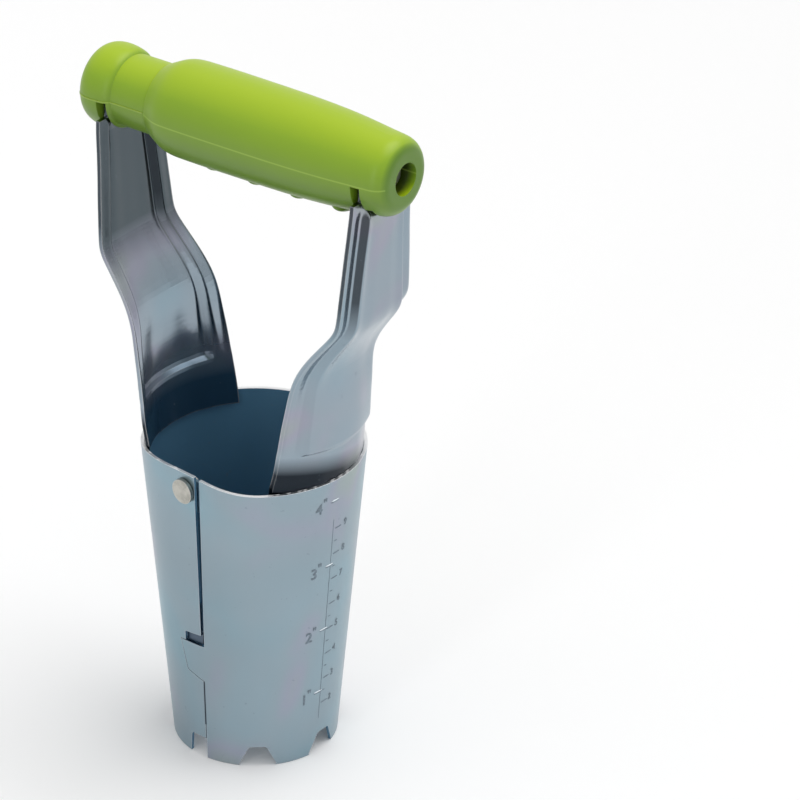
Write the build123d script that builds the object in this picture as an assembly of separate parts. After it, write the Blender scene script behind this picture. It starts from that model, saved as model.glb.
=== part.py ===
from build123d import *
import math
import os

# Bulb planter with a releasing blade. Millimetres, +Z up, origin on the blade's axis at the tooth tips,
# X along the handle with its open end at +X, front seam towards -Y.

# Blade: a tapered steel tube in two halves, flattened at the front seam
blade_height = 109.6
foot_radius = 27.9
rim_radius = 37.6
sheet = 1.2
flat_depth = 6.4
flat_angle = -98.0
flat_reach = 50.0
section_step = 5
seam_x = 0.8
seam_gap = 0.3
slot_foot_z = 44.6
slot_foot_width = 1.3
slot_rim_width = 2.5

# Teeth
tooth_depth = 7.8
notch_mouth = 25.4
notch_root = 11.5
left_notch_mouth = 28.5
seam_notch_mouth = 15.0
seam_notch_root = 13.4
notch_corner = 1.4

# Locating tongue of the right half, seated in a notch of the left half
tongue_length = 10.4
tongue_low_length = 7.4
tongue_top_z = 44.4
tongue_tip_z = 43.4
tongue_low_seam_z = 30.8
tongue_low_tip_z = 32.8
tongue_gap = 0.25

# Recess pressed into the left half above the tongue
recess_length = 8.2
recess_high_z = 48.6
recess_low_z = 47.4
recess_depth = 1.0
recess_overlap = 0.15

# Pivots of the two halves
pivot_x = -5.0
pivot_z = 103.2
lug_gap = 0.3
lug_low_z = 96.0
lug_high_z = 107.6
lug_reach = 6.4
lug_corner = 3.0
joggle_start = 2.1
joggle_width = 1.6
rivet_shank_radius = 2.4
rivet_running_gap = 0.08
rivet_head_radius = 4.3
rivet_head_gap = 0.25
rivet_tail_radius = 3.5
rivet_head_height = 1.4
rivet_tail_height = 1.2
rivet_washer_radius = 4.4
rivet_washer_thickness = 0.8

# Arms: pressed strips with a raised centre panel
arm_sheet = 1.5
arm_top_x = 51.2
arm_panel_depth = 2.2
arm_panel_ramp = 1.8
arm_panel_border = 4.8
arm_tab_half_width = 11.0
arm_tab_low_z = 217.0
arm_tab_step = 0.02
arm_wall_gap = 0.08
arm_free_z = 119.0
arm_step = 1.9
arm_close_steps = ((120, 127), (164, 177), (210, 216))
arm_hole_radius = 4.0

# Handle
handle_z = 223.8
collar_end_x = -62.0
collar_radius = 14.1
collar_inner_x = -48.4
neck_radius = 12.1
neck_end_x = -20.0
mouth_x = -34.0
mouth_radius = 12.9
grip_bore_radius = 12.4
grip_bore_end_x = -9.0
grip_radius = 16.3
grip_end_x = 61.0
grip_end_radius = 13.6
spring_room_radius = 8.0
spring_room_end_x = 8.0
guide_bore_radius = 3.1
end_hole_radius = 5.5
slot_width = 3.3
slot_top_drop = 0.5
slot_room_radius = 12.0
panel_room_depth = 4.6
panel_room_half_width = 10.4
panel_room_top_z = 216.8
bump_radius = 4.2
bump_depth = 3.1
parting_rib = 0.22
parting_half_width = 0.25

# Guide bolt, nut, washers and spring
bolt_radius = 2.5
bolt_head_radius = 4.5
bolt_head_height = 3.2
bolt_end_x = -58.9
bolt_washer_radius = 5.1
bolt_washer_thickness = 0.8
nut_across_flats = 8.0
nut_height = 4.0
nut_inner_x = -54.0
plug_radius = 6.3
plug_inner_x = -59.6
spring_mean_radius = 5.6
spring_wire_radius = 0.75
spring_turns = 9
spring_seat_x = -44.0
spring_washer_radius = 7.6
spring_washer_thickness = 1.0


def wall_radius(z, inset):
    """Radius of the round part of the blade at a height."""
    return foot_radius + (rim_radius - foot_radius) * z / blade_height - inset


def flattening(angle, z):
    """How far the front seam is pressed in."""
    away = abs((angle - flat_angle + 180) % 360 - 180)
    share = math.cos(math.pi / 2 * min(1.0, away / flat_reach)) ** 2
    return flat_depth * z / blade_height * share


def wall_section(z, inset):
    """Closed face across the blade."""
    points = []
    for angle in range(-180, 180, section_step):
        r = wall_radius(z, inset) - flattening(angle, z)
        points.append((r * math.cos(math.radians(angle)), r * math.sin(math.radians(angle)), z))
    return Face(Wire([Edge.make_spline(points, periodic=True)]))


def wall_body(inset, low, high):
    return loft([wall_section(low, inset), wall_section(high, inset)], ruled=True)


def layer(inset_out, inset_in, low, high):
    """Part of the wall between two depths and two heights."""
    return wall_body(inset_out, low, high) - wall_body(inset_in, low - 0.5, high + 0.5)


def block(x0, x1, y0, y1, z0, z1):
    size = (x1 - x0, y1 - y0, z1 - z0)
    return Pos((x0 + x1) / 2, (y0 + y1) / 2, (z0 + z1) / 2) * Box(*size)


def side_prism(points, y0, y1):
    """Prism along Y over an outline given as X and Z."""
    outline = Wire.make_polygon([(x, y0, z) for x, z in points], close=True)
    return extrude(Face(outline), amount=y1 - y0, dir=(0, 1, 0))


def notch_cutter(angle, mouth, root):
    """Trapezoid notch between two teeth, as a prism pointing outward."""
    half_mouth = wall_radius(0, 0) * math.radians(mouth) / 2
    half_root = wall_radius(tooth_depth, 0) * math.radians(root) / 2
    outline = [(-half_mouth, -1), (half_mouth, -1), (half_mouth, 0.6), (half_root, tooth_depth),
               (-half_root, tooth_depth), (-half_mouth, 0.6)]
    face = Face(Wire.make_polygon([(0, a, z) for a, z in outline], close=True))
    prism = extrude(face, amount=rim_radius * 1.2, dir=(1, 0, 0))
    tops = prism.edges().filter_by(Axis.X).group_by(Axis.Z)[-1]
    prism = fillet(tops, notch_corner)
    return Rot(0, 0, angle) * prism


def seam_notch_cutter(side):
    """Notch of the left half beside a seam: upright on the seam side, slanted on the other."""
    mouth = wall_radius(0, 0) * math.radians(seam_notch_mouth)
    root = wall_radius(tooth_depth, 0) * math.radians(seam_notch_root)
    outline = [(seam_x + 1, -1), (seam_x - mouth, -1), (seam_x - mouth, 0.6),
               (seam_x - root, tooth_depth), (seam_x + 1, tooth_depth)]
    y0, y1 = sorted((side * 5, side * rim_radius))
    prism = side_prism(outline, y0, y1)
    corner = prism.edges().filter_by(Axis.Y).filter_by(
        lambda e: abs(e.center().X - (seam_x - root)) < 0.01)
    return fillet(corner, notch_corner)


def tongue_outline(gap):
    """The tongue's outline in X and Z, grown by a gap."""
    low_tip = seam_x - tongue_low_length - gap
    top_tip = seam_x - tongue_length - gap
    return [(seam_x + 4, tongue_low_seam_z - gap), (seam_x, tongue_low_seam_z - gap),
            (low_tip, tongue_low_tip_z - gap), (top_tip, tongue_tip_z + gap),
            (seam_x, tongue_top_z + gap), (seam_x + 4, tongue_top_z + gap)]


def recess_outline(grow):
    """The recess above the tongue in X and Z, grown to its left and upward."""
    left = seam_x - recess_length - grow
    right = seam_x - slot_foot_width / 2
    return [(right, tongue_tip_z + 0.4), (left, tongue_tip_z + 0.4), (left, recess_low_z + grow),
            (right, recess_high_z + grow)]


def slot_cutter():
    """The tapered slot of both seams above the tongue."""
    foot, rim = slot_foot_width / 2, slot_rim_width / 2
    outline = [(seam_x - foot, slot_foot_z - 0.1), (seam_x + foot, slot_foot_z - 0.1),
               (seam_x + rim, blade_height + 1), (seam_x - rim, blade_height + 1)]
    return side_prism(outline, -rim_radius - 2, rim_radius + 2)


def pivot_rod(radius, side):
    y = side * rim_radius / 2
    return Pos(pivot_x, y * 1.3, pivot_z) * Rot(90, 0, 0) * Cylinder(radius, rim_radius)


def make_left_shell(tube):
    shell = tube & block(-50, seam_x - seam_gap / 2, -50, 50, -1, blade_height + 1)
    shell -= slot_cutter()
    for angle in (-180 + 28.3, 180 - 28.3):
        shell -= notch_cutter(angle, left_notch_mouth, notch_root)
    for side in (-1, 1):
        shell -= seam_notch_cutter(side)
        y0, y1 = sorted((side * 5, side * 50))
        shell -= side_prism(recess_outline(0), y0, y1)
        floor = layer(sheet - recess_overlap, sheet + recess_depth, tongue_tip_z - 1, recess_high_z + 3)
        shell += floor & side_prism(recess_outline(recess_depth), y0, y1)
        shell -= side_prism(tongue_outline(tongue_gap), y0, y1)
        shell -= pivot_rod(rivet_shank_radius + rivet_running_gap, side)
    return shell


def make_lug(side):
    """Pivot lug of the right half: a step inward, then a tongue behind the left half."""
    deep = 2 * sheet + lug_gap
    y0, y1 = sorted((side * 5, side * 50))
    reach = block(pivot_x - lug_reach, joggle_start + joggle_width + seam_x, y0, y1, lug_low_z, lug_high_z)
    reach = fillet(reach.edges().filter_by(Axis.Y).group_by(Axis.X)[0], lug_corner)
    step = block(joggle_start, joggle_start + joggle_width + seam_x, y0, y1, lug_low_z, lug_high_z)
    tongue = layer(sheet + lug_gap, deep, lug_low_z - 2, lug_high_z + 1) & reach
    joggle = layer(sheet * 0.4, deep, lug_low_z - 2, lug_high_z + 1) & step
    lug = tongue + joggle
    return lug - pivot_rod(rivet_shank_radius + 0.01, side)


def make_right_shell(tube):
    shell = tube & block(seam_x + seam_gap / 2, 50, -50, 50, -1, blade_height + 1)
    shell -= slot_cutter()
    for angle in (-51, 0, 51):
        shell -= notch_cutter(angle, notch_mouth, notch_root)
    for side in (-1, 1):
        y0, y1 = sorted((side * 5, side * 50))
        shell += tube & side_prism(tongue_outline(0), y0, y1)
        shell += make_lug(side)
    return shell


def make_rivet(side):
    """Rivet with a flat head outside the left half and a tail inside the lug's washer."""
    seat = 2 * sheet + lug_gap + rivet_washer_thickness + 0.04
    top = rivet_head_gap + rivet_head_height
    low, high = pivot_z - 8, pivot_z + 8
    head = layer(-top, -rivet_head_gap, low, high) & pivot_rod(rivet_head_radius, side)
    tail = layer(seat, seat + rivet_tail_height, low, high) & pivot_rod(rivet_tail_radius, side)
    shank = layer(-0.6, seat + 0.5, low, high) & pivot_rod(rivet_shank_radius, side)
    return head + shank + tail


def make_rivet_washer(side):
    """Ring between the lug and the rivet's tail."""
    seat = 2 * sheet + lug_gap + 0.02
    ring = layer(seat, seat + rivet_washer_thickness, pivot_z - 8, pivot_z + 8)
    return (ring & pivot_rod(rivet_washer_radius, side)) - pivot_rod(rivet_shank_radius + 0.02, side)


# Height, distance of the strip's edges from the blade axis, width, crown and share of the panel's height at
# the stations of the right arm, from the blade up to the handle
arm_stations = [
    (105.0, 25.5, 48.6, 9.4, 0.0),
    (109.6, 26.0, 48.6, 9.4, 0.0),
    (115.0, 26.9, 48.2, 9.2, 0.0),
    (119.0, 27.5, 47.7, 8.9, 0.0),
    (122.4, 28.0, 47.3, 8.5, 0.0),
    (124.0, 28.2, 47.0, 8.3, 0.5),
    (125.6, 28.5, 46.8, 8.0, 1.0),
    (129.0, 29.0, 46.4, 7.6, 1.0),
    (134.0, 29.8, 45.8, 6.8, 1.0),
    (140.0, 30.9, 45.0, 5.8, 1.0),
    (145.0, 31.8, 44.3, 4.8, 1.0),
    (149.0, 32.7, 43.6, 4.0, 1.0),
    (153.0, 34.1, 42.8, 3.2, 1.0),
    (156.0, 35.6, 42.0, 2.6, 1.0),
    (159.5, 37.8, 41.1, 2.0, 1.0),
    (163.0, 40.4, 40.2, 1.5, 1.0),
    (166.5, 43.2, 39.3, 1.1, 1.0),
    (169.4, 45.5, 38.6, 0.8, 1.0),
    (171.6, 47.0, 38.1, 0.6, 1.0),
    (174.0, 48.0, 37.6, 0.4, 1.0),
    (177.5, 48.5, 36.9, 0.2, 1.0),
    (183.0, 48.9, 36.0, 0.1, 1.0),
    (190.0, 49.4, 34.8, 0.0, 1.0),
    (198.0, 49.9, 33.3, 0.0, 1.0),
    (206.0, 50.5, 31.9, 0.0, 1.0),
    (211.0, 50.9, 31.2, 0.0, 1.0),
    (213.5, 51.1, 30.8, 0.0, 0.5),
    (215.8, 51.2, 30.4, 0.0, 0.0),
    (217.3, 51.2, 30.2, 0.0, 0.0),
]


# Where the points of a cross-section lie between the middle and the edge
arm_knot_shares = [0, 0.27, 0.58, 0.66, 0.72, 0.78, 0.89, 1]


def panel_share(y, width):
    """0 on the strip's border, 1 on the raised panel, with a smooth ramp between."""
    inside = width / 2 - arm_panel_border - abs(y)
    share = min(1.0, max(0.0, inside / arm_panel_ramp))
    return share * share * (3 - 2 * share)


def foot_x(y, z):
    """X of the strip's outer face where it lies against the blade's inner wall on either side."""
    r = wall_radius(z, sheet + arm_wall_gap)
    angle = math.degrees(math.asin(y / r))
    r -= max(flattening(angle, z), flattening(180 - angle, z))
    return math.sqrt(r * r - y * y)


def freed(z):
    """0 where the strip lies against the blade, 1 where it has its own shape."""
    share = min(1.0, max(0.0, (z - blade_height) / (arm_free_z - blade_height)))
    return share * share * (3 - 2 * share)


def station_slope(index, column):
    below = arm_stations[max(index - 1, 0)]
    above = arm_stations[min(index + 1, len(arm_stations) - 1)]
    return (above[column] - below[column]) / (above[0] - below[0])


def at_height(z, column):
    """Smooth value of one column of the stations between two of them."""
    index = max(i for i, station in enumerate(arm_stations[:-1]) if station[0] <= z or i == 0)
    a, b = arm_stations[index], arm_stations[index + 1]
    span = b[0] - a[0]
    t = (z - a[0]) / span
    value = (2 * t ** 3 - 3 * t ** 2 + 1) * a[column] + (3 * t ** 2 - 2 * t ** 3) * b[column]
    value += (t ** 3 - 2 * t ** 2 + t) * span * station_slope(index, column)
    return value + (t ** 3 - t ** 2) * span * station_slope(index + 1, column)


def arm_heights():
    """Heights of the cross-sections, closer together where the panel ends and the strip bends."""
    heights = [arm_stations[0][0]]
    top = arm_stations[-1][0]
    while heights[-1] < top - arm_step:
        z = heights[-1]
        close = any(low <= z <= high for low, high in arm_close_steps)
        heights.append(z + (arm_step / 2 if close else arm_step))
    return heights + [top]


def arm_section(z):
    """Cross-section of the right arm at a height, upright to the strip."""
    edge_x, width, crown = (at_height(z, column) for column in (1, 2, 3))
    panel = min(1.0, max(0.0, at_height(z, 4)))
    top = arm_stations[-1][0]
    rise = at_height(min(z + 0.5, top), 1) - at_height(max(z - 0.5, arm_stations[0][0]), 1)
    run = min(z + 0.5, top) - max(z - 0.5, arm_stations[0][0])
    lean = math.atan2(rise, run) * freed(z) * (1 if z < top - 2 else 0)
    ramp = width / 2 - arm_panel_border
    knots = [0, 0.35 * ramp, 0.75 * ramp, ramp - arm_panel_ramp, ramp - arm_panel_ramp / 2, ramp,
             ramp + arm_panel_border * 0.5, width / 2]
    across = [-k for k in knots[:0:-1]] + knots
    share = [0.5 - s / 2 for s in arm_knot_shares[:0:-1]] + [0.5 + s / 2 for s in arm_knot_shares]
    rows = []
    for side in (0.5, -0.5):
        row = []
        for y in across:
            out = crown * (1 - (2 * y / width) ** 2) + panel * arm_panel_depth * panel_share(y, width)
            foot = foot_x(y, z) - arm_sheet / 2 - edge_x
            out = freed(z) * out + (1 - freed(z)) * foot + side * arm_sheet
            row.append((edge_x + out * math.cos(lean), y, z - out * math.sin(lean)))
        rows.append(row)
    outer, inner = rows
    edges = [Edge.make_spline(outer, parameters=share), Edge.make_line(outer[-1], inner[-1]),
             Edge.make_spline(inner[::-1], parameters=share), Edge.make_line(inner[0], outer[0])]
    return Face(Wire(edges))


def make_arm():
    """The right arm. Its shoulders carry the handle and its tab stands in the handle's slot."""
    arm = loft([arm_section(z) for z in arm_heights()], ruled=True)
    half, tab = arm_sheet / 2 - arm_tab_step, arm_tab_half_width
    arm += block(arm_top_x - half, arm_top_x + half, -tab, tab, arm_tab_low_z, handle_z)
    arm += along(tab, arm_top_x - half, arm_top_x + half)
    return arm - along(arm_hole_radius, 40, 60)


def turned(points, curves):
    """Solid of revolution about the handle's axis; points are X and radius."""
    wires = []
    for kind, items in curves:
        pts = [(points[i][0], 0, points[i][1]) for i in items]
        if kind == "line":
            wires += [Edge.make_line(a, b) for a, b in zip(pts, pts[1:])]
        else:
            wires.append(Edge.make_spline(pts))
    face = Face(Wire(wires))
    return Pos(0, 0, handle_z) * revolve(face, Axis((0, 0, 0), (1, 0, 0)), 360)


def along(radius, x0, x1):
    """Cylinder on the handle's axis."""
    return Pos((x0 + x1) / 2, 0, handle_z) * Rot(0, 90, 0) * Cylinder(radius, x1 - x0)


def arm_slot(side):
    """Slot for the arm's tab, open below, with room for the arm's panel."""
    x = side * arm_top_x
    slot = block(x - slot_width / 2, x + slot_width / 2, -30, 30, handle_z - 30, handle_z - slot_top_drop)
    slot += along(slot_room_radius, x - slot_width / 2, x + slot_width / 2)
    x0, x1 = sorted((x, x + side * panel_room_depth))
    slot += block(x0, x1, -panel_room_half_width, panel_room_half_width, handle_z - 30, panel_room_top_z)
    return slot


def moulding(outline, curves, x0, x1):
    """Turned moulding with the thin raised parting line of its mould on both sides."""
    grown = [(x, r + parting_rib if r > 0 else 0) for x, r in outline]
    slab = block(x0, x1, -30, 30, handle_z - parting_half_width, handle_z + parting_half_width)
    return turned(outline, curves) + (turned(grown, curves) & slab)


def make_grip():
    outline = [(mouth_x, 0), (mouth_x, mouth_radius), (-31.6, 14.1), (-28.2, 15.6), (-22, grip_radius),
               (0, grip_radius), (22, 16.0), (40, 15.0), (54, grip_end_radius), (58.4, 12.6),
               (60.4, 10.6), (grip_end_x, 8.2), (grip_end_x, 0)]
    curves = [("line", (0, 1)), ("spline", (1, 2, 3, 4, 5, 6, 7, 8, 9, 10, 11)), ("line", (11, 12, 0))]
    grip = moulding(outline, curves, mouth_x, grip_end_x)
    for x in (-12, 5, 22, 39):
        rise = x * x * 0.0005
        bump = scale(Sphere(bump_radius), (1, 1.9, 1))
        grip += Pos(x, 0, handle_z - grip_radius + bump_depth + rise) * bump
    grip -= along(grip_bore_radius, mouth_x - 1, grip_bore_end_x)
    grip -= along(spring_room_radius, grip_bore_end_x - 1, spring_room_end_x)
    grip -= along(guide_bore_radius, spring_room_end_x - 1, arm_top_x)
    grip -= along(end_hole_radius, arm_top_x, grip_end_x + 1)
    return grip - arm_slot(1)


def make_plunger():
    outline = [(collar_end_x, 0), (collar_end_x, 9.4), (-61.2, 11.8), (-58.6, 13.6), (-55, collar_radius),
               (-51.4, 13.7), (-49.2, 12.9), (collar_inner_x, neck_radius), (neck_end_x + 1, neck_radius),
               (neck_end_x, neck_radius - 1), (neck_end_x, 0)]
    curves = [("line", (0, 1)), ("spline", (1, 2, 3, 4, 5, 6, 7)), ("line", (7, 8, 9, 10, 0))]
    plunger = moulding(outline, curves, collar_end_x + 0.3, mouth_x - 1)
    plunger -= along(spring_room_radius, spring_seat_x, neck_end_x + 1)
    plunger -= along(bolt_radius + 0.02, nut_inner_x - 1, spring_seat_x + 1)
    plunger -= nut_shape(0.02, plug_inner_x - 1, nut_inner_x)
    plunger -= along(plug_radius + 0.02, collar_end_x - 1, plug_inner_x)
    return plunger - arm_slot(-1)


def make_plug():
    """Plug that closes the nut's pocket in the collar's end."""
    plug = along(plug_radius, collar_end_x, plug_inner_x - 0.02)
    return chamfer(plug.edges().filter_by(GeomType.CIRCLE).group_by(Axis.X)[0], 0.4)


def nut_shape(gap, x0, x1):
    hexagon = RegularPolygon(radius=nut_across_flats / 2 + gap, side_count=6, major_radius=False)
    return Pos(x0, 0, handle_z) * Rot(0, 90, 0) * extrude(hexagon, amount=x1 - x0)


def make_nut():
    outer_x = nut_inner_x - 0.02
    return nut_shape(0, outer_x - nut_height, outer_x) - along(bolt_radius + 0.02, -65, -50)


def make_bolt():
    seat = arm_top_x + 1.2 + bolt_washer_thickness
    bolt = along(bolt_radius, bolt_end_x, seat + 1)
    head = along(bolt_head_radius, seat, seat + bolt_head_height)
    head = fillet(head.edges().filter_by(GeomType.CIRCLE).group_by(Axis.X)[-1], 1.2)
    socket = RegularPolygon(radius=1.75, side_count=6)
    bolt += head
    return bolt - Pos(seat + 1.2, 0, handle_z) * Rot(0, 90, 0) * extrude(socket, amount=5)


def make_bolt_washer():
    x0 = arm_top_x + 1.18
    return along(bolt_washer_radius, x0, x0 + bolt_washer_thickness) - along(bolt_radius + 0.05, 40, 60)


def make_spring_washer():
    x1 = spring_room_end_x
    return along(spring_washer_radius, x1 - spring_washer_thickness, x1) - along(3.0, -10, 20)


def make_spring():
    x0 = spring_seat_x + spring_wire_radius
    x1 = spring_room_end_x - spring_washer_thickness - spring_wire_radius
    length = x1 - x0 - 0.1
    path = Helix(pitch=length / spring_turns, height=length, radius=spring_mean_radius)
    section = Plane(path @ 0, z_dir=path % 0) * Circle(spring_wire_radius)
    coil = sweep(section, path=path)
    return Pos(x0 + 0.05, 0, handle_z) * Rot(0, 90, 0) * coil


def main():
    os.makedirs("parts", exist_ok=True)
    tube = layer(0, sheet, 0, blade_height)
    arm = make_arm()
    nodes = {
        "right_half_shell": make_right_shell(tube),
        "left_half_shell": make_left_shell(tube),
        "right_arm": arm,
        "left_arm": mirror(arm, about=Plane.YZ),
        "front_pivot_rivet": make_rivet(-1),
        "rear_pivot_rivet": make_rivet(1),
        "front_rivet_washer": make_rivet_washer(-1),
        "rear_rivet_washer": make_rivet_washer(1),
        "grip": make_grip(),
        "plunger": make_plunger(),
        "collar_plug": make_plug(),
        "guide_bolt": make_bolt(),
        "captive_nut": make_nut(),
        "bolt_washer": make_bolt_washer(),
        "spring_washer": make_spring_washer(),
        "return_spring": make_spring(),
    }
    for name, shape in nodes.items():
        print(name, shape.volume, len(shape.solids()), shape.is_valid)
        export_step(shape, f"parts/{name}.step")


main()
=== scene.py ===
import math
import bpy
import bmesh
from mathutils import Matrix, Quaternion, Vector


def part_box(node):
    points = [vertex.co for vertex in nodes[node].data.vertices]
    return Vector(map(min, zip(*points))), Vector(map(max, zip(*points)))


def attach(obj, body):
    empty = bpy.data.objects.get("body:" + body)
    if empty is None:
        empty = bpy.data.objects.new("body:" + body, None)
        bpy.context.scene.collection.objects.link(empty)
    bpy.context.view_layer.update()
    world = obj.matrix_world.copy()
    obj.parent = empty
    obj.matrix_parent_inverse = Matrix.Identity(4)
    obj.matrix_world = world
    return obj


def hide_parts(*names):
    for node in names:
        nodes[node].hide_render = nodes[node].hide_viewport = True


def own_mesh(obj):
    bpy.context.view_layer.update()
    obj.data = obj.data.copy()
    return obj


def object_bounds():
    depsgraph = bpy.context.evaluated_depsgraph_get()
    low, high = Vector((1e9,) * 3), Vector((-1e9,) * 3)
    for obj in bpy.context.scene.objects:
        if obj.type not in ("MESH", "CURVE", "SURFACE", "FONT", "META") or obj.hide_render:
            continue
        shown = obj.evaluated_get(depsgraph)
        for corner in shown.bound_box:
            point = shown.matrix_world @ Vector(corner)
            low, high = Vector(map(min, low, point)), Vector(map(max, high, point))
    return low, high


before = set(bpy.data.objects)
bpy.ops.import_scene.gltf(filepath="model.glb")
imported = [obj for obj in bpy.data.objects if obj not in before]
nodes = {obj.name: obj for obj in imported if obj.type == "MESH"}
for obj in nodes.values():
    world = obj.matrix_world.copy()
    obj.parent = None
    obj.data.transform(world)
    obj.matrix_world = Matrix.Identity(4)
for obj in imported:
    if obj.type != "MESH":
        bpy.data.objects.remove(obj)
cad_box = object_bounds()

# Sizes of the planter, in metres
BLADE_HEIGHT = 0.1096
FOOT_RADIUS = 0.0279
RIM_RADIUS = 0.0376
RIM_SKIN = 0.00006
HANDLE_Z = 0.2238
SEAM_X = 0.0008
SEAM_Z = (0.0134, 0.0306)
SEAM_FADE = (0.00050, 0.00025)
RECESS_RADIUS = 0.0289
RECESS_X = (-0.0084, 0.0006)
RECESS_Z = (0.0434, 0.0494)
PARTING_FADE = (0.00030, 0.00018)
END_FACE_X = 0.054
BORE_RADIUS = 0.00565
BORE_INNER_X = 0.050
BORE_SHADE_X = (0.0600, 0.0575)
# Heights over which the painted shade on the arms' insides fades out
ARM_INSIDE_SHADE_Z = (0.116, 0.136)
ARM_STEP_Z = (0.120, 0.128)
ARM_UPPER_STEP_Z = (0.168, 0.182)
# Heights where the painted dark reflection on the arms' insides comes in
ARM_DARK_REFLECTION_Z = (0.164, 0.176)
ARM_FOOT_Y = (-0.024, 0.020)
ARM_FOOT_Z = (0.1210, 0.1120)
ARM_FOOT_SOFTNESS = (-0.0025, 0.0045)
ARM_FOOT_FADE_Y = (0.000, 0.022)

# Return spring
SPRING_RADIUS = 0.0056
SPRING_WIRE = 0.00072
SPRING_CLOSED_PITCH = 0.0016
SPRING_CLOSED_TURNS = 0.9
SPRING_TURNS = 10

# Depth scale: lengths in metres, places round the blade in degrees
INCH = 0.0254
CENTIMETRE = 0.01
INCHES = range(1, 5)
CENTIMETRES = range(2, 10)
INCH_LEAN = 0.9
CENTIMETRE_LEAN = 0.04
INCH_LINE_ANGLE = -12.6
INCH_NUMBER_ANGLE = -20.5
INCH_MARK_ANGLE = -16.8
CENTIMETRE_LINE_ANGLE = -5.0
CENTIMETRE_NUMBER_ANGLE = 4.2
RULE_ANGLE = -6.2
RULE_FOOT_Z = 0.014
RULE_LENGTH = 0.080
INCH_LINE_LENGTH = 0.0034
CENTIMETRE_LINE_LENGTH = 0.0032
HALF_LINE_LENGTH = 0.0014
SHADOW_DROP = 0.0005
INCH_NUMBER_HEIGHT = 0.0040
INCH_NUMBER_DROP = 0.0015
INCH_MARK_HEIGHT = 0.0034
CENTIMETRE_NUMBER_HEIGHT = 0.0024
NUMBER_RISE = 0.0002
NUMBER_PROUD = 0.00007

# Camera: azimuth, elevation and roll in degrees, lens and sensor in millimetres, the rest in metres
CAMERA_ANGLES = (35.97, 28.75, 0.52)
CAMERA_LENS = 218.02
CAMERA_SENSOR = 36
CAMERA_TARGET = (0.05949, 0, 0.14467)
CAMERA_DISTANCE = 1.554
CAMERA_CLIP = (0.05, 50)

# Lights
SKY_STRENGTH = 0.72
OVERHEAD_PLACE = (0.35, 0.45, 1.3)
OVERHEAD_STRENGTH = 1.15
OVERHEAD_DEGREES = 50
STRIP_PLACE = (0.15, -1.6, 0.55)
STRIP_TARGET = (0, 0, 0.12)
STRIP_SIZE = (0.22, 1.4)
STRIP_POWER = 2.6

# Colours
PAPER = (0.97, 0.97, 0.97)
# Stamped marks: painted shade on their lines and numbers, and a painted highlight on the inch lines
STAMP_DARK = (0.15, 0.19, 0.225)
STAMP_HIGHLIGHT = (0.60, 0.66, 0.70)
RIVET_COLOR = (0.50, 0.49, 0.445)
BOLT_COLOR = (0.50, 0.50, 0.50)
WIRE_COLOR = (0.32, 0.33, 0.35)
HARDWARE_EDGE = (0.9, 0.9, 0.88)
ZINC_OUTSIDE = (0.298, 0.380, 0.428)
# Painted shade on the blade's inside faces
ZINC_INSIDE_SHADE = (0.10, 0.24, 0.37)
ARM_OUTSIDE = (0.30, 0.36, 0.41)
# Painted shade low on the arms' inside faces
ARM_FOOT_INSIDE_SHADE = (0.017, 0.050, 0.092)
# Painted dark reflection high on the arms' inside faces
ARM_DARK_REFLECTION = (0.085, 0.105, 0.118)
FOOT_SHADE = (0.022, 0.028, 0.036)
STEP_SHADE = (0.020, 0.024, 0.030)
RECESS_SHADE = (0.030, 0.045, 0.085)
SEAM_SHADE = (0.035, 0.055, 0.085)
WORN_EDGE = (0.86, 0.87, 0.88)
# Painted highlight on the rim's top face
RIM_HIGHLIGHT = (0.93, 0.94, 0.95)
LIME = (0.245, 0.405, 0.011)
LIME_FLOW = (0.22, 0.375, 0.010)
LIME_SCUFF = (0.70, 0.86, 0.30)
# Painted shade on the handle's lower faces
LIME_UNDERSIDE_SHADE = (0.120, 0.220, 0.018)
# Painted light on the handle's top faces
LIME_TOP_LIGHT = (0.39, 0.55, 0.008)
# Painted shade in the bore of the handle's open end
LIME_BORE_SHADE = (0.006, 0.014, 0.002)
# Painted shade on the handle's end face
LIME_END_SHADE = (0.100, 0.205, 0.012)
# Painted highlight on the mould's parting rib
LIME_PARTING_HIGHLIGHT = (0.46, 0.64, 0.12)
PASSIVATION = [
    (0.30, (0.85, 1.02, 1.06)),
    (0.42, (0.95, 1, 1.02)),
    (0.54, (1.0, 0.99, 1.0)),
    (0.62, (1.10, 0.95, 1.02)),
    (0.74, (1.10, 1.05, 0.90)),
]

SHELLS = ("right_half_shell", "left_half_shell")
ARMS = ("right_arm", "left_arm")
PLASTIC_NODES = ("grip", "plunger", "collar_plug")
RIVET_NODES = ("front_pivot_rivet", "rear_pivot_rivet", "front_rivet_washer", "rear_rivet_washer")
BOLT_NODES = ("guide_bolt", "captive_nut", "bolt_washer", "spring_washer")


# ---------------------------------------------------------------- camera, floor and lights

def add_object(name, data):
    """New object with this data, linked into the scene."""
    made = bpy.data.objects.new(name, data)
    bpy.context.scene.collection.objects.link(made)
    return made


def add_camera():
    azimuth, elevation, roll = (math.radians(angle) for angle in CAMERA_ANGLES)
    back = Vector((math.sin(azimuth) * math.cos(elevation), -math.cos(azimuth) * math.cos(elevation),
                   math.sin(elevation)))
    data = bpy.data.cameras.new("camera")
    data.sensor_width = CAMERA_SENSOR
    data.lens = CAMERA_LENS
    data.clip_start, data.clip_end = CAMERA_CLIP
    camera = add_object("camera", data)
    camera.location = Vector(CAMERA_TARGET) + back * CAMERA_DISTANCE
    camera.rotation_mode = "QUATERNION"
    camera.rotation_quaternion = (-back).to_track_quat("-Z", "Y") @ Quaternion((0, 0, 1), roll)
    bpy.context.scene.camera = camera


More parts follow.
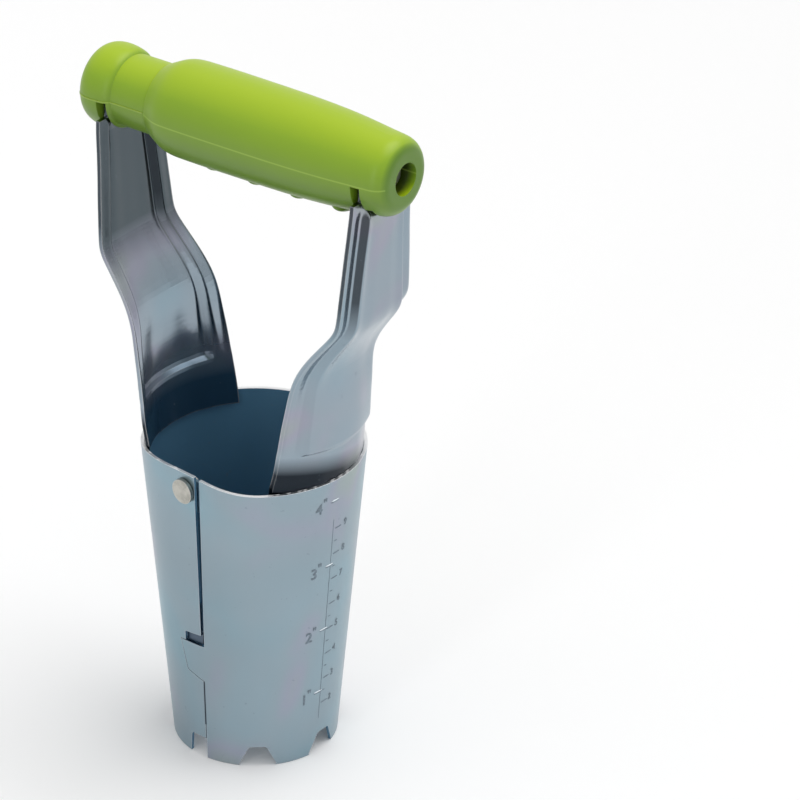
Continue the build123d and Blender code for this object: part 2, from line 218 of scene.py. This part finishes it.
def aim(light, location, target):
    """Put a light at a location and turn it to a target."""
    light.location = location
    light.rotation_mode = "QUATERNION"
    light.rotation_quaternion = (Vector(target) - Vector(location)).to_track_quat("-Z", "Y")


def add_area(name, location, target, width, height, power):
    data = bpy.data.lights.new(name, "AREA")
    data.shape = "RECTANGLE"
    data.size = width
    data.size_y = height
    data.energy = power
    aim(add_object(name, data), location, target)


def add_sun(name, location, strength, degrees):
    """Soft light from a direction, as wide in the sky as these degrees."""
    data = bpy.data.lights.new(name, "SUN")
    data.energy = strength
    data.angle = math.radians(degrees)
    aim(add_object(name, data), location, (0, 0, 0))


def add_world():
    world = bpy.data.worlds.new("studio")
    world.use_nodes = True
    background = world.node_tree.nodes["Background"]
    background.inputs["Color"].default_value = (1, 1, 1, 1)
    background.inputs["Strength"].default_value = SKY_STRENGTH
    bpy.context.scene.world = world


def add_floor():
    """Paper that lies flat and curves up behind the planter."""
    half_width, back, top, curve_radius, steps = 3.0, 1.6, 3.0, 0.8, 16
    drop = 0.0001
    profile = [(-half_width, 0), (back, 0)]
    for i in range(1, steps + 1):
        a = math.pi / 2 * i / steps
        profile.append((back + curve_radius * math.sin(a), curve_radius * (1 - math.cos(a))))
    profile.append((back + curve_radius, top))
    low = cad_box[0].z - drop
    verts = [(x, y, z + low) for y, z in profile for x in (-half_width, half_width)]
    faces = [(2 * i, 2 * i + 1, 2 * i + 3, 2 * i + 2) for i in range(len(profile) - 1)]
    mesh = bpy.data.meshes.new("floor")
    mesh.from_pydata(verts, [], faces)
    smooth(mesh)
    paper = bpy.data.materials.new("floor_paper")
    paper.use_nodes = True
    shader = paper.node_tree.nodes["Principled BSDF"]
    shader.inputs["Base Color"].default_value = (*PAPER, 1)
    shader.inputs["Roughness"].default_value = 0.9
    mesh.materials.append(paper)
    add_object("floor", mesh)


def smooth(mesh):
    for polygon in mesh.polygons:
        polygon.use_smooth = True


# ---------------------------------------------------------------- node helpers

class Nodes:
    """Small helper that adds and links the nodes of one material."""

    def __init__(self, name):
        self.material = bpy.data.materials.new(name)
        self.material.use_nodes = True
        self.tree = self.material.node_tree
        self.shader = self.tree.nodes["Principled BSDF"]
        self.coords = self.tree.nodes.new("ShaderNodeTexCoord")

    def link(self, source, target):
        self.tree.links.new(source, target)

    def put(self, target, value):
        if hasattr(value, "is_linked"):
            self.link(value, target)
        else:
            target.default_value = value

    def math(self, kind, a, b=0.0):
        node = self.tree.nodes.new("ShaderNodeMath")
        node.operation = kind
        self.put(node.inputs[0], a)
        self.put(node.inputs[1], b)
        return node.outputs[0]

    def product(self, *values):
        """All the values multiplied together."""
        result = values[0]
        for value in values[1:]:
            result = self.math("MULTIPLY", result, value)
        return result

    def scaled(self, scale):
        """Object coordinates, scaled along each axis."""
        node = self.tree.nodes.new("ShaderNodeMapping")
        node.inputs["Scale"].default_value = scale
        self.link(self.coords.outputs["Object"], node.inputs["Vector"])
        return node.outputs["Vector"]

    def noise(self, scale, detail=3.0, rough=0.5, vector=None, distortion=0.0):
        node = self.tree.nodes.new("ShaderNodeTexNoise")
        node.inputs["Scale"].default_value = scale
        node.inputs["Detail"].default_value = detail
        node.inputs["Roughness"].default_value = rough
        node.inputs["Distortion"].default_value = distortion
        self.link(vector or self.coords.outputs["Object"], node.inputs["Vector"])
        return node.outputs["Fac"]

    def voronoi(self, scale):
        node = self.tree.nodes.new("ShaderNodeTexVoronoi")
        node.inputs["Scale"].default_value = scale
        self.link(self.coords.outputs["Object"], node.inputs["Vector"])
        return node.outputs["Distance"]

    def ramp(self, factor, stops):
        node = self.tree.nodes.new("ShaderNodeValToRGB")
        elements = node.color_ramp.elements
        while len(elements) < len(stops):
            elements.new(0.5)
        for element, (position, color) in zip(elements, stops):
            element.position = position
            element.color = (*color, 1)
        self.link(factor, node.inputs["Fac"])
        return node.outputs["Color"]

    def range(self, value, low, high, to_low=0.0, to_high=1.0):
        node = self.tree.nodes.new("ShaderNodeMapRange")
        self.link(value, node.inputs["Value"])
        node.inputs["From Min"].default_value = low
        node.inputs["From Max"].default_value = high
        node.inputs["To Min"].default_value = to_low
        node.inputs["To Max"].default_value = to_high
        return node.outputs["Result"]

    def mix(self, factor, a, b, kind="MIX"):
        node = self.tree.nodes.new("ShaderNodeMix")
        node.data_type = "RGBA"
        node.blend_type = kind
        self.put(node.inputs["Factor"], factor)
        for socket, value in ((node.inputs[6], a), (node.inputs[7], b)):
            if not hasattr(value, "is_linked") and len(value) == 3:
                value = (*value, 1)
            self.put(socket, value)
        return node.outputs[2]

    def bump(self, height, strength, distance, normal=None):
        node = self.tree.nodes.new("ShaderNodeBump")
        node.inputs["Strength"].default_value = strength
        node.inputs["Distance"].default_value = distance
        self.link(height, node.inputs["Height"])
        if normal is not None:
            self.link(normal, node.inputs["Normal"])
        return node.outputs["Normal"]

    def rounded(self, radius):
        """Normal with the solid's edges rounded off to a radius."""
        node = self.tree.nodes.new("ShaderNodeBevel")
        node.samples = 4
        node.inputs["Radius"].default_value = radius
        return node.outputs["Normal"]

    def edge_mask(self, radius):
        """1 on the solid's edges, 0 on its faces."""
        geometry = self.tree.nodes.new("ShaderNodeNewGeometry")
        dot = self.tree.nodes.new("ShaderNodeVectorMath")
        dot.operation = "DOT_PRODUCT"
        self.link(self.rounded(radius), dot.inputs[0])
        self.link(geometry.outputs["Normal"], dot.inputs[1])
        return self.range(dot.outputs["Value"], 0.97, 0.8)

    def axis(self, output, name):
        node = self.tree.nodes.new("ShaderNodeSeparateXYZ")
        self.link(self.coords.outputs[output], node.inputs[0])
        return node.outputs[name]

    def place(self, name):
        """Where a point is along an axis of the object."""
        return self.axis("Object", name)

    def facing(self, name):
        """How far a face looks along an axis of the object."""
        return self.axis("Normal", name)

    def square_sum(self, a, b):
        return self.math("ADD", self.math("MULTIPLY", a, a), self.math("MULTIPLY", b, b))

    def within(self, value, limits):
        """1 where a value lies between two others."""
        low, high = limits
        return self.product(self.math("GREATER_THAN", value, low), self.math("LESS_THAN", value, high))

    def end_bore_mask(self):
        """1 inside the bore in the handle's open end, fading in from its mouth."""
        up = self.math("SUBTRACT", self.place("Z"), HANDLE_Z)
        inside = self.math("LESS_THAN", self.square_sum(up, self.place("Y")), BORE_RADIUS * BORE_RADIUS)
        deep = self.range(self.place("X"), *BORE_SHADE_X)
        beyond = self.math("GREATER_THAN", self.place("X"), BORE_INNER_X)
        return self.product(inside, deep, beyond)

    def end_face_mask(self):
        """1 on the flat face that closes the handle's open end."""
        facing = self.range(self.facing("X"), 0.70, 0.93)
        return self.product(facing, self.math("GREATER_THAN", self.place("X"), END_FACE_X))

    def parting_mask(self):
        """1 on the fine rib that the mould's parting leaves at mid height."""
        off = self.math("ABSOLUTE", self.math("SUBTRACT", self.place("Z"), HANDLE_Z))
        upright = self.math("LESS_THAN", self.math("ABSOLUTE", self.facing("X")), 0.9)
        return self.product(self.range(off, *PARTING_FADE), upright)

    def inside_mask(self, fade=None):
        """1 on faces that look towards the blade's axis, fading out between two heights if they are given."""
        dot = self.tree.nodes.new("ShaderNodeVectorMath")
        dot.operation = "DOT_PRODUCT"
        self.link(self.scaled((1, 1, 0)), dot.inputs[0])
        self.link(self.coords.outputs["Normal"], dot.inputs[1])
        inward = self.math("LESS_THAN", dot.outputs["Value"], 0.0)
        if fade is None:
            return inward
        return self.product(inward, self.range(self.place("Z"), *fade, 1.0, 0.0))

    def outside_mask(self):
        return self.math("SUBTRACT", 1.0, self.inside_mask())

    def recess_mask(self):
        """1 on the floor of the recess pressed in above the tongue."""
        square = self.square_sum(self.place("X"), self.place("Y"))
        sunk = self.math("LESS_THAN", square, RECESS_RADIUS * RECESS_RADIUS)
        region = self.product(self.within(self.place("X"), RECESS_X), self.within(self.place("Z"), RECESS_Z))
        return self.product(sunk, self.outside_mask(), region)

    def seam_mask(self):
        """1 beside the closed seam below the tongue, where its edges are dark."""
        off = self.math("ABSOLUTE", self.math("SUBTRACT", self.place("X"), SEAM_X))
        return self.product(self.range(off, *SEAM_FADE), self.within(self.place("Z"), SEAM_Z))

    def step_mask(self):
        """1 on the steep steps round an arm's pressed panel and on the strip's cut edges, less low down."""
        steep = self.range(self.math("ABSOLUTE", self.facing("Y")), 0.50, 0.70)
        upper = self.range(self.place("Z"), *ARM_UPPER_STEP_Z, 0.10, 1.0)
        return self.product(steep, upper, self.range(self.place("Z"), *ARM_STEP_Z))

    def foot_mask(self):
        """1 on an arm's outside where it dips into the blade, fading upward and round to the rear."""
        top = self.range(self.place("Y"), *ARM_FOOT_Y, *ARM_FOOT_Z)
        shade = self.range(self.math("SUBTRACT", top, self.place("Z")), *ARM_FOOT_SOFTNESS)
        fade = self.range(self.place("Y"), *ARM_FOOT_FADE_Y, 1.0, 0.25)
        return self.product(shade, fade, self.outside_mask())


# ---------------------------------------------------------------- materials

def shaded(color, factor):
    return tuple(c * factor for c in color)


def zinc_base(n, outside, inside, fade):
    """Colours of the plating: clouds, faint passivation colours and painted shade on the inside."""
    clouds = n.noise(18, 2, 0.5)
    tint = n.ramp(n.noise(26, 1.5, 0.5, distortion=0.6), PASSIVATION)
    base = n.mix(n.range(clouds, 0.3, 0.7), shaded(outside, 0.93), shaded(outside, 1.05))
    base = n.mix(1.0, base, tint, "MULTIPLY")
    return clouds, n.mix(n.inside_mask(fade), base, inside)


def zinc_wear(n, base, outside):
    """Bright worn edges and dull specks."""
    base = n.mix(n.product(n.edge_mask(0.0006), 0.35), base, WORN_EDGE)
    specks = n.math("GREATER_THAN", n.noise(420, 2, 0.6), 0.72)
    return n.mix(n.product(specks, 0.25), base, shaded(outside, 0.55))


def zinc_finish(n, base, clouds, roughness, fade):
    """Metal with drawing streaks and a fine grain."""
    streaks = n.noise(1, 3, 0.6, vector=n.scaled((380, 380, 8)))
    n.put(n.shader.inputs["Base Color"], base)
    n.put(n.shader.inputs["Metallic"], n.range(n.inside_mask(fade), 0.0, 1.0, 1.0, 0.35))
    rough = n.math("ADD", n.range(clouds, 0.3, 0.7, roughness - 0.04, roughness + 0.05),
                   n.range(streaks, 0.3, 0.7, -0.012, 0.012))
    n.put(n.shader.inputs["Roughness"], rough)
    normal = n.bump(streaks, 0.04, 0.00004, n.rounded(0.0002))
    n.put(n.shader.inputs["Normal"], n.bump(n.noise(2600, 2, 0.5), 0.05, 0.00002, normal))
    return n.material


def blade_material():
    """Bright zinc plating on the blade, with painted shade on its inside, in the recess and in the seam, and
    a painted highlight on the rim's top face.
    """
    n = Nodes("zinc_blade")
    clouds, base = zinc_base(n, ZINC_OUTSIDE, ZINC_INSIDE_SHADE, None)
    base = zinc_wear(n, base, ZINC_OUTSIDE)
    base = n.mix(n.product(n.recess_mask(), 0.75), base, RECESS_SHADE)
    base = n.mix(n.product(n.seam_mask(), 0.75), base, SEAM_SHADE)
    # Painted highlight on the rim's top face
    base = n.mix(n.math("GREATER_THAN", n.place("Z"), BLADE_HEIGHT - RIM_SKIN), base, RIM_HIGHLIGHT)
    return zinc_finish(n, base, clouds, 0.33, None)


def arm_material():
    """Bright zinc plating on the arms, with painted shade at their feet, on their steps and low on their
    insides, and a painted dark reflection high on their insides.
    """
    n = Nodes("zinc_arm")
    # Painted shade low on the arms' insides, where they go into the blade
    clouds, base = zinc_base(n, ARM_OUTSIDE, ARM_FOOT_INSIDE_SHADE, ARM_INSIDE_SHADE_Z)
    # Painted dark reflection high on the arms' insides
    upper = n.product(n.inside_mask(), n.range(n.place("Z"), *ARM_DARK_REFLECTION_Z))
    base = n.mix(upper, base, ARM_DARK_REFLECTION)
    base = n.mix(n.foot_mask(), base, FOOT_SHADE)
    base = n.mix(n.product(n.step_mask(), 0.85), base, STEP_SHADE)
    return zinc_finish(n, zinc_wear(n, base, ARM_OUTSIDE), clouds, 0.205, ARM_INSIDE_SHADE_Z)


def plastic_material():
    """Satin moulded plastic with a fine grain, faint flow marks and dulled high spots, with painted shade
    underneath, in the end bore and on the end face, painted light on top and a painted highlight on the
    parting rib.
    """
    n = Nodes("lime_plastic")
    flow = n.noise(30, 3, 0.5, vector=n.scaled((0.5, 1.6, 1.6)))
    base = n.mix(n.range(flow, 0.3, 0.7), LIME, LIME_FLOW)
    scuffs = n.noise(1, 4, 0.65, vector=n.scaled((120, 900, 900)))
    scuff_mask = n.product(n.range(scuffs, 0.62, 0.78), n.range(n.noise(40, 2, 0.5), 0.45, 0.7))
    base = n.mix(n.product(scuff_mask, 0.18), base, LIME_SCUFF)
    # Painted shade, deepening on faces that look down
    base = n.mix(n.range(n.facing("Z"), -0.35, 0.55), LIME_UNDERSIDE_SHADE, base)
    # Painted light on faces that look up
    base = n.mix(n.range(n.facing("Z"), 0.55, 0.97), base, LIME_TOP_LIGHT)
    # Painted shade in the end bore
    base = n.mix(n.product(n.end_bore_mask(), 0.85), base, LIME_BORE_SHADE)
    # Painted shade on the end face
    base = n.mix(n.end_face_mask(), base, LIME_END_SHADE)
    # Painted highlight on the parting rib
    base = n.mix(n.product(n.parting_mask(), 0.30), base, LIME_PARTING_HIGHLIGHT)
    n.put(n.shader.inputs["Base Color"], base)
    rough = n.math("ADD", n.range(flow, 0.3, 0.7, 0.33, 0.40), n.product(scuff_mask, 0.2))
    n.put(n.shader.inputs["Roughness"], rough)
    n.shader.inputs["IOR"].default_value = 1.48
    n.shader.inputs["Subsurface Weight"].default_value = 0.12
    n.shader.inputs["Subsurface Radius"].default_value = (0.002, 0.0025, 0.0006)
    n.shader.inputs["Subsurface Scale"].default_value = 1.0
    normal = n.bump(n.voronoi(2400), 0.10, 0.00003, n.rounded(0.0004))
    n.put(n.shader.inputs["Normal"], n.bump(n.noise(260, 3, 0.5), 0.10, 0.00008, normal))
    return n.material


def hardware_material(name, color, roughness):
    """Plated hardware with a fine bumpy grain and a little tarnish."""
    n = Nodes(name)
    tarnish = n.noise(300, 4, 0.6)
    base = n.mix(n.range(tarnish, 0.4, 0.75), color, shaded(color, 0.6))
    base = n.mix(n.product(n.edge_mask(0.0004), 0.4), base, HARDWARE_EDGE)
    n.put(n.shader.inputs["Base Color"], base)
    n.shader.inputs["Metallic"].default_value = 1.0
    n.put(n.shader.inputs["Roughness"], n.range(tarnish, 0.3, 0.7, roughness - 0.06, roughness + 0.1))
    normal = n.bump(n.noise(1800, 3, 0.6), 0.15, 0.00003, n.rounded(0.00025))
    n.put(n.shader.inputs["Normal"], normal)
    return n.material


def stamp_material(name, color):
    """Painted shade on a stamped line's floor, and with a light colour the painted highlight on its edge,
    broken up as the plating fills it.
    """
    n = Nodes(name)
    patches = n.noise(1500, 3, 0.6)
    base = n.mix(n.range(patches, 0.35, 0.7), color, shaded(color, 1.6))
    n.put(n.shader.inputs["Base Color"], base)
    n.shader.inputs["Metallic"].default_value = 0.6
    n.put(n.shader.inputs["Roughness"], n.range(patches, 0.3, 0.7, 0.45, 0.65))
    n.put(n.shader.inputs["Normal"], n.bump(patches, 0.2, 0.00002))
    return n.material


def assign(names, material):
    for name in names:
        data = nodes[name].data
        data.materials.clear()
        data.materials.append(material)


def paint_nodes():
    wire = hardware_material("spring_wire", WIRE_COLOR, 0.38)
    assign(SHELLS, blade_material())
    assign(ARMS, arm_material())
    assign(PLASTIC_NODES, plastic_material())
    assign(RIVET_NODES, hardware_material("rivet_steel", RIVET_COLOR, 0.35))
    assign(BOLT_NODES, hardware_material("bolt_steel", BOLT_COLOR, 0.35))
    assign(["return_spring"], wire)
    add_spring(wire)


# ---------------------------------------------------------------- depth scale

def tube_radius(z):
    return FOOT_RADIUS + (RIM_RADIUS - FOOT_RADIUS) * z / BLADE_HEIGHT


def on_blade(angle, z, proud):
    """Point on the round part of the blade's outside, angle in degrees."""
    r = tube_radius(z) + proud
    a = math.radians(angle)
    return Vector((r * math.cos(a), r * math.sin(a), z))


def wrapped(angle, z, right, up, proud):
    """Point on the blade, some way right of and above a place given by its angle and height."""
    return on_blade(angle + math.degrees(right / tube_radius(z + up)), z + up, proud)


def add_lines(name, lines, width, proud, material):
    """Thin strokes on the blade, each (angle, z, length right, length up) with the angle in degrees."""
    step_length, end_taper, edge_height = 0.001, 0.55, 0.2
    verts, faces = [], []
    for angle, z, right, up in lines:
        length = math.hypot(right, up)
        steps = max(2, int(length / step_length))
        across_x, across_y = -up / length * width / 2, right / length * width / 2
        first = len(verts)
        for i in range(steps + 1):
            x, y = right * i / steps, up * i / steps
            taper = end_taper if i in (0, steps) else 1.0
            for k, h in ((1, edge_height), (0, 1.0), (-1, edge_height)):
                verts.append(wrapped(angle, z, x + k * across_x * taper, y + k * across_y * taper, proud * h))
        for i in range(steps):
            a = first + 3 * i
            faces += [(a, a + 3, a + 4, a + 1), (a + 1, a + 4, a + 5, a + 2)]
    mesh = bpy.data.meshes.new(name)
    mesh.from_pydata(verts, [], faces)
    mesh.materials.append(material)
    return add_object(name, mesh)


def add_number(name, text, angle, z, height, material):
    """A number wrapped on the blade, centred at an angle and height."""
    digit_share, weight, weld = 0.7, 0.02, 1e-6
    curve = bpy.data.curves.new(name, "FONT")
    curve.body = text
    curve.size = height / digit_share
    curve.align_x, curve.align_y = "CENTER", "CENTER"
    curve.offset = height * weight
    holder = add_object(name + "_flat", curve)
    bpy.context.view_layer.update()
    mesh = bpy.data.meshes.new_from_object(holder.evaluated_get(bpy.context.evaluated_depsgraph_get()))
    bpy.data.objects.remove(holder)
    bm = bmesh.new()
    bm.from_mesh(mesh)
    bmesh.ops.remove_doubles(bm, verts=bm.verts, dist=weld)
    bmesh.ops.triangulate(bm, faces=bm.faces)
    for v in bm.verts:
        v.co = wrapped(angle, z, v.co.x, v.co.y, NUMBER_PROUD)
    bmesh.ops.recalc_face_normals(bm, faces=bm.faces)
    bm.to_mesh(mesh)
    bm.free()
    mesh.materials.clear()
    mesh.materials.append(material)
    return add_object(name, mesh)


def scale_strokes(bright, dark):
    """Inch lines as painted highlights with painted shadows under them, and centimetre lines, half centimetre
    lines and the rule beside them in painted shade.
    """
    inches = [(INCH_LINE_ANGLE + INCH_LEAN * k, INCH * k, INCH_LINE_LENGTH, 0) for k in INCHES]
    shadows = [(angle, z - SHADOW_DROP, right, up) for angle, z, right, up in inches]
    places = [(CENTIMETRE_LINE_ANGLE + CENTIMETRE_LEAN * k, CENTIMETRE * k) for k in CENTIMETRES]
    centimetres = [(angle, z, CENTIMETRE_LINE_LENGTH, 0) for angle, z in places]
    halves = [(angle, z + CENTIMETRE / 2, HALF_LINE_LENGTH, 0) for angle, z in places[:-1]]
    rule = [(RULE_ANGLE, RULE_FOOT_Z, 0, RULE_LENGTH)]
    # The inch lines carry the painted highlight; the other strokes carry painted shade
    return [add_lines("inch_lines", inches, 0.0006, 0.00010, bright),
            add_lines("inch_line_shadows", shadows, 0.0004, 0.00008, dark),
            add_lines("centimetre_lines", centimetres, 0.0005, 0.00009, dark),
            add_lines("half_centimetre_lines", halves, 0.00035, 0.00008, dark),
            add_lines("scale_rule", rule, 0.00022, 0.00007, dark)]


def add_depth_scale():
    """Stamped inch and centimetre scales, counted from the tooth tips."""
    # Painted shade for the stamped strokes and numbers, painted highlight for the inch lines
    dark = stamp_material("stamp_shadow", STAMP_DARK)
    bright = stamp_material("stamp_highlight", STAMP_HIGHLIGHT)
    pieces = scale_strokes(bright, dark)
    for k in INCHES:
        lean, z = INCH_LEAN * k, INCH * k
        pieces.append(add_number(f"inch_number_{k}", str(k), INCH_NUMBER_ANGLE + lean,
                                 z - INCH_NUMBER_DROP, INCH_NUMBER_HEIGHT, dark))
        pieces.append(add_number(f"inch_mark_{k}", '"', INCH_MARK_ANGLE + lean,
                                 z + NUMBER_RISE, INCH_MARK_HEIGHT, dark))
    for k in CENTIMETRES:
        pieces.append(add_number(f"centimetre_number_{k}", str(k), CENTIMETRE_NUMBER_ANGLE,
                                 CENTIMETRE * k + NUMBER_RISE, CENTIMETRE_NUMBER_HEIGHT, dark))
    for piece in pieces:
        finish_piece(piece, "right_half")


# ---------------------------------------------------------------- return spring

def spring_point(turn, x0, x1):
    """Point on the spring's middle line, with a closed turn at each end."""
    closed, turns = SPRING_CLOSED_TURNS, SPRING_TURNS
    pitch = (x1 - x0 - 2 * closed * SPRING_CLOSED_PITCH) / (turns - 2 * closed)
    low = min(turn, closed)
    high = max(0.0, turn - (turns - closed))
    x = x0 + (low + high) * SPRING_CLOSED_PITCH + (turn - low - high) * pitch
    a = 2 * math.pi * turn
    return Vector((x, SPRING_RADIUS * math.cos(a), HANDLE_Z + SPRING_RADIUS * math.sin(a)))


def spring_mesh():
    """Wire swept round the spring's middle line, a little thinner at its two ends."""
    per_turn, sides, end_share, end_room, nudge = 40, 12, 0.6, 1.2, 0.01
    low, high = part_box("return_spring")
    x0, x1 = low.x + SPRING_WIRE * end_room, high.x - SPRING_WIRE * end_room
    count = SPRING_TURNS * per_turn
    verts, faces = [], []
    for i in range(count + 1):
        turn = i / per_turn
        middle = spring_point(turn, x0, x1)
        ahead = (spring_point(turn + nudge, x0, x1) - spring_point(turn - nudge, x0, x1)).normalized()
        out = Vector((0, middle.y, middle.z - HANDLE_Z)).normalized()
        side = ahead.cross(out).normalized()
        wire = SPRING_WIRE * (end_share if i in (0, count) else 1.0)
        for k in range(sides):
            a = 2 * math.pi * k / sides
            verts.append(middle + (out * math.cos(a) + side * math.sin(a)) * wire)
    for i in range(count):
        for k in range(sides):
            a, b = i * sides + k, i * sides + (k + 1) % sides
            faces.append((a, b, b + sides, a + sides))
    faces.append(tuple(sides - 1 - k for k in range(sides)))
    faces.append(tuple(count * sides + k for k in range(sides)))
    mesh = bpy.data.meshes.new("spring_coil")
    mesh.from_pydata(verts, [], faces)
    smooth(mesh)
    return mesh


def add_spring(material):
    """Return spring as a coil in place of the model's spring, carried with the grip side."""
    mesh = spring_mesh()
    mesh.materials.append(material)
    piece = add_object("spring_coil", mesh)
    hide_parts("return_spring")
    finish_piece(piece, "grip_side")
    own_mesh(piece)


def finish_piece(piece, body):
    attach(piece, body)


add_camera()
add_world()
add_floor()
add_sun("overhead", OVERHEAD_PLACE, OVERHEAD_STRENGTH, OVERHEAD_DEGREES)
add_area("front_strip", STRIP_PLACE, STRIP_TARGET, *STRIP_SIZE, STRIP_POWER)
paint_nodes()
add_depth_scale()
bpy.context.scene.view_settings.view_transform = "Standard"
